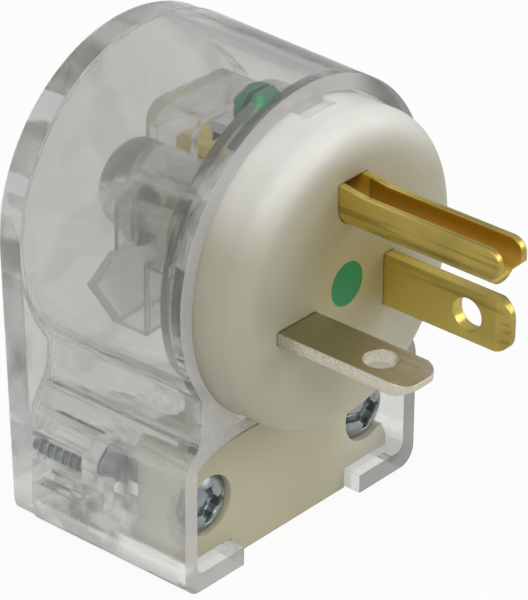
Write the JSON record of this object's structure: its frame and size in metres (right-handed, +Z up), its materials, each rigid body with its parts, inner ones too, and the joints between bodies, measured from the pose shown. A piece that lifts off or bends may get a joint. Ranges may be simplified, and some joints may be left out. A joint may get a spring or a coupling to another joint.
{
  "type": "grounded plug",
  "caption": "Right-angle grounded mains plug with a clear cup-shaped housing, a white face, one upright and one level flat blade and a U-shaped ground pin.",
  "frame": {"origin": "middle of the overall box at the height of the flat base", "axes": "+Z up towards the ground pin's side, -Y the way the blades point, +X to the side of the upright blade"},
  "size_m": [0.0422, 0.0552, 0.0571],
  "materials": {
    "clear_plastic": "clear, gloss",
    "white_nylon": "satin",
    "brass": "satin",
    "nickel": "satin",
    "zinc_steel": "bright zinc",
    "green_metal": "gloss"
  },
  "bodies": {
    "root": {"clear_housing": "clear_plastic", "front_insert": "white_nylon", "terminal_carrier": "clear_plastic", "line_blade": "brass", "neutral_blade": "nickel", "ground_pin": "brass", "line_terminal": "brass", "neutral_terminal": "nickel", "ground_terminal": "brass", "line_rivet": "brass", "neutral_rivet": "nickel", "ground_rivet": "brass", "line_clamp_plate": "zinc_steel", "neutral_clamp_plate": "zinc_steel", "ground_clamp_plate": "zinc_steel", "line_screw": "brass", "neutral_screw": "zinc_steel", "ground_screw": "green_metal", "left_case_screw": "zinc_steel", "right_case_screw": "zinc_steel", "cord_jaw": "clear_plastic"}
  },
  "joints": []
}
